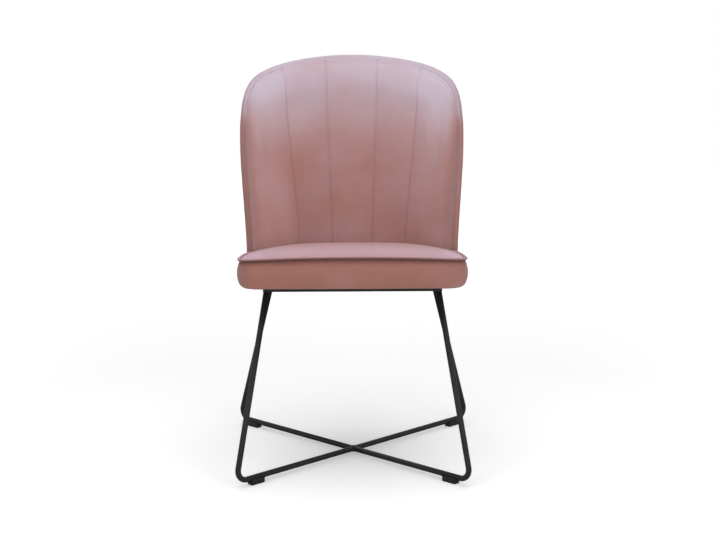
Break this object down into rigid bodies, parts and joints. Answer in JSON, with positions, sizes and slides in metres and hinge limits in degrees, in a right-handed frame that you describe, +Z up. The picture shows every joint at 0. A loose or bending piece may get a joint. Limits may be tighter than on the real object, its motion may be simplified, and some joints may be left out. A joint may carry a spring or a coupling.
{
  "type": "dining chair",
  "caption": "Upholstered dining chair with a vertically channelled tub back, welted seat cushion and rod legs whose floor bars cross.",
  "frame": {"origin": "on the floor under the middle of the chair's bounding box", "axes": "+Z up, -Y towards the sitter's front, +X to the right in the picture"},
  "size_m": [0.5568, 0.541, 0.8967],
  "materials": {
    "velvet": "matte",
    "black_steel": "satin",
    "zinc": "satin",
    "plywood": "matte",
    "foam": "matte",
    "felt": "matte",
    "glide_plastic": "matte"
  },
  "bodies": {
    "root": {"seat_top_cushion": "velvet", "seat_side_band": "velvet", "seat_piping": "velvet", "back_front_pad": "velvet", "back_rim_roll": "velvet", "back_rear_cover": "velvet", "frame_rod_through": "black_steel", "frame_rod_front_half": "black_steel", "frame_rod_rear_half": "black_steel", "front_cross_bar": "black_steel", "rear_cross_bar": "black_steel", "side_rail_left": "black_steel", "side_rail_right": "black_steel", "rear_tab_left": "black_steel", "rear_tab_right": "black_steel", "joining_plate_left": "black_steel", "joining_plate_right": "black_steel", "seat_bolt_front_left": "zinc", "seat_bolt_front_right": "zinc", "seat_bolt_rear_left": "zinc", "seat_bolt_rear_right": "zinc", "seat_washer_front_left": "zinc", "seat_washer_front_right": "zinc", "seat_washer_rear_left": "zinc", "seat_washer_rear_right": "zinc", "seat_nut_front_left": "zinc", "seat_nut_front_right": "zinc", "seat_nut_rear_left": "zinc", "seat_nut_rear_right": "zinc", "back_bolt_left": "zinc", "back_bolt_right": "zinc", "back_washer_left": "zinc", "back_washer_right": "zinc", "plate_screw_left_1": "zinc", "plate_screw_left_2": "zinc", "plate_screw_left_3": "zinc", "plate_screw_left_4": "zinc", "plate_screw_right_1": "zinc", "plate_screw_right_2": "zinc", "plate_screw_right_3": "zinc", "plate_screw_right_4": "zinc", "seat_board": "plywood", "back_board": "plywood", "back_foot_rail": "plywood", "seat_foam": "foam", "seat_dust_cover": "felt", "glide_front_left": "glide_plastic", "glide_front_right": "glide_plastic", "glide_rear_left": "glide_plastic", "glide_rear_right": "glide_plastic"}
  },
  "joints": []
}
